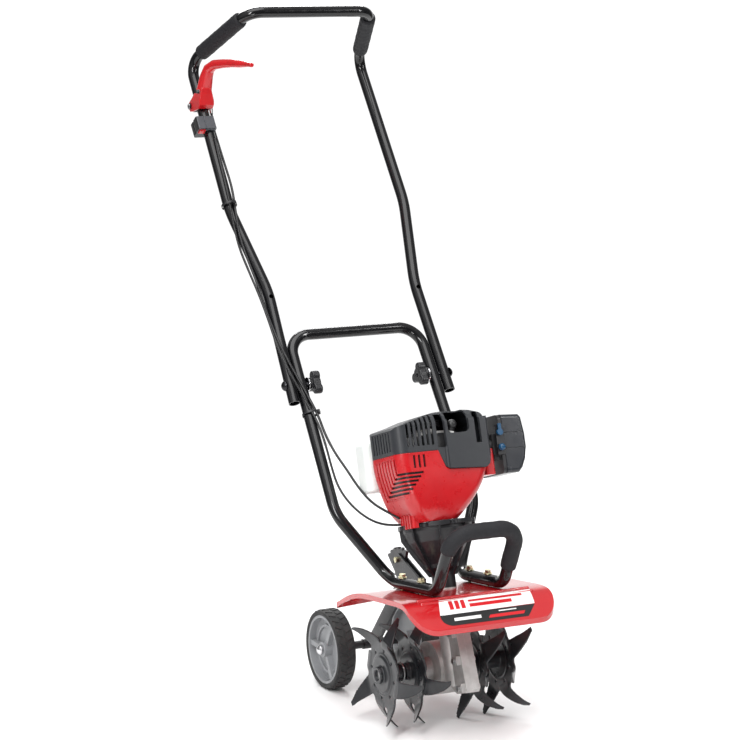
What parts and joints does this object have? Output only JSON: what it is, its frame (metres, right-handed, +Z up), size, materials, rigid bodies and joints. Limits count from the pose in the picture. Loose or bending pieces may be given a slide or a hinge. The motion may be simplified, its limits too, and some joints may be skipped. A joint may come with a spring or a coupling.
{
  "type": "front-tine tiller",
  "caption": "Small petrol front-tine tiller with folding tube handle, leaning engine, red deck, star tines and rear transport wheels.",
  "frame": {"origin": "on the ground under the middle of the machine's footprint box", "axes": "+Z up, +Y back towards the operator, +X to the air box side"},
  "size_m": [0.4189, 0.9221, 1.3061],
  "materials": {
    "tube_black": "gloss black powder coat",
    "foam": "soft closed-cell foam",
    "black_plastic": "moulded, fine texture",
    "red_lever": "moulded red",
    "grey_switch": "moulded grey",
    "cable": "smooth black sheath",
    "deck_red": "gloss red paint",
    "zinc": "yellow zinc plate",
    "chrome": "bright plate",
    "dark_bracket": "black paint",
    "rim_grey": "moulded grey",
    "tyre": "hard rubber with tread",
    "tine_steel": "dark satin paint",
    "steel": "machined",
    "cast_alloy": "die cast",
    "dark_alloy": "sooty cast fins",
    "bronze": "machined bronze",
    "cowl_black": "moulded, satin",
    "cowl_red": "moulded, gloss",
    "tank": "translucent white moulding",
    "filter_grey": "moulded, satin",
    "blue": "moulded blue",
    "element": "filter foam",
    "ceramic": "white insulator and steel"
  },
  "bodies": {
    "frame": {"lower_handle": "tube_black", "front_grip": "foam", "frame_bolts": "zinc", "throttle_cable": "cable", "switch_lead": "cable", "cable_tie_lower": "black_plastic", "shield": "deck_red", "wheel_bracket": "dark_bracket", "gear_case_left": "cast_alloy", "gear_case_right": "cast_alloy", "gear_case_bolts": "steel", "bearings": "bronze", "clutch_housing": "black_plastic", "crankcase": "cast_alloy", "connecting_rod": "cast_alloy", "piston": "cast_alloy", "cylinder": "dark_alloy", "spark_plug": "ceramic", "plug_boot": "cable", "muffler": "steel", "top_shroud": "cowl_black", "lower_shroud": "cowl_red", "fuel_tank": "tank", "carburettor": "dark_alloy", "filter_base": "black_plastic", "filter_cover": "filter_grey", "filter_element": "element"},
    "upper_frame": {"upper_handle": "tube_black", "handle_grips": "foam", "lever_clamp": "black_plastic", "switch_box": "grey_switch", "cable_tie_upper": "black_plastic"},
    "left_knob": {"knob_left": "black_plastic"},
    "right_knob": {"knob_right": "black_plastic"},
    "throttle": {"throttle_lever": "red_lever"},
    "rocker": {"switch_rocker": "red_lever"},
    "starter": {"starter_grip": "black_plastic"},
    "recoil": {"recoil_pulley": "black_plastic"},
    "crank": {"crankshaft": "steel", "flywheel": "cast_alloy", "clutch_shoes": "steel"},
    "drive": {"drive_shaft": "steel", "clutch_drum": "steel"},
    "tines": {"tine_shaft": "steel", "tine_outer_left": "tine_steel", "tine_inner_left": "tine_steel", "tine_inner_right": "tine_steel", "tine_outer_right": "tine_steel", "tine_clips": "steel", "worm_wheel": "bronze"},
    "wheel_carrier": {"wheel_frame": "dark_bracket", "axle": "dark_bracket", "push_nuts": "chrome"},
    "left_wheel": {"wheel_left": "rim_grey", "tyre_left": "tyre"},
    "right_wheel": {"wheel_right": "rim_grey", "tyre_right": "tyre"},
    "primer": {"primer_bulb": "blue"},
    "choke": {"choke_lever": "blue"},
    "filler_cap": {"fuel_cap": "black_plastic"}
  },
  "joints": [
    {"name": "handle_fold", "type": "hinge", "parent": "frame", "child": "upper_frame", "pos_m": [0, 0.036, 0.598], "axis": [1, 0, 0], "range_deg": [0, 120], "deforming": ["throttle_cable", "switch_lead"]},
    {"name": "knob_left_turn", "type": "hinge", "parent": "frame", "child": "left_knob", "pos_m": [-0.115, 0.036, 0.598], "axis": [-1, 0, 0], "continuous": true},
    {"name": "knob_right_turn", "type": "hinge", "parent": "frame", "child": "right_knob", "pos_m": [0.115, 0.036, 0.598], "axis": [1, 0, 0], "continuous": true},
    {"name": "throttle_squeeze", "type": "hinge", "parent": "upper_frame", "child": "throttle", "pos_m": [-0.1882, 0.424, 1.107], "axis": [-1, 0, 0], "range_deg": [0, 14], "stiffness_Nm_per_rad": 0.8, "springref_deg": -22.92},
    {"name": "switch_rock", "type": "hinge", "parent": "upper_frame", "child": "rocker", "pos_m": [-0.20729, 0.36056, 1.06406], "axis": [0, 0.8059, -0.5921], "range_deg": [-5, 5]},
    {"name": "starter_pull", "type": "slide", "parent": "frame", "child": "starter", "axis": [0, 0.9563, -0.2924], "range_m": [0, 0.5], "stiffness_N_per_m": 20, "springref_m": -0.4},
    {"name": "recoil_turn", "type": "hinge", "parent": "frame", "child": "recoil", "pos_m": [0, -0.19445, 0.54593], "axis": [0, 0.2924, 0.9563], "range_deg": [0, 1100]},
    {"name": "crank_spin", "type": "hinge", "parent": "frame", "child": "crank", "pos_m": [0, -0.22807, 0.43595], "axis": [0, 0.2924, 0.9563], "continuous": true},
    {"name": "drive_spin", "type": "hinge", "parent": "frame", "child": "drive", "pos_m": [0, -0.29532, 0.216], "axis": [0, 0.2924, 0.9563], "continuous": true},
    {"name": "tine_spin", "type": "hinge", "parent": "frame", "child": "tines", "pos_m": [0, -0.271, 0.104], "axis": [1, 0, 0], "continuous": true},
    {"name": "wheel_height", "type": "hinge", "parent": "frame", "child": "wheel_carrier", "pos_m": [0, -0.111, 0.222], "axis": [1, 0, 0], "range_deg": [-8, 25]},
    {"name": "wheel_left_spin", "type": "hinge", "parent": "wheel_carrier", "child": "left_wheel", "pos_m": [-0.091, 0.016, 0.0777], "axis": [1, 0, 0], "continuous": true},
    {"name": "wheel_right_spin", "type": "hinge", "parent": "wheel_carrier", "child": "right_wheel", "pos_m": [0.091, 0.016, 0.0777], "axis": [1, 0, 0], "continuous": true},
    {"name": "primer_press", "type": "slide", "parent": "frame", "child": "primer", "axis": [0, 0.9563, -0.2924], "range_m": [0, 0.003], "stiffness_N_per_m": 400, "springref_m": -0.002},
    {"name": "choke_turn", "type": "hinge", "parent": "frame", "child": "choke", "pos_m": [0.119, -0.27045, 0.53675], "axis": [0, 0.9563, -0.2924], "range_deg": [-45, 45]},
    {"name": "fuel_cap_turn", "type": "hinge", "parent": "frame", "child": "filler_cap", "pos_m": [-0.05, -0.12028, 0.51489], "axis": [0, 0.2924, 0.9563], "continuous": true}
  ],
  "couplings": [
    {"joint": "drive_spin", "follows": "tine_spin", "ratio": 34},
    {"joint": "recoil_turn", "follows": "starter_pull", "rad_per_m": 37.037}
  ]
}
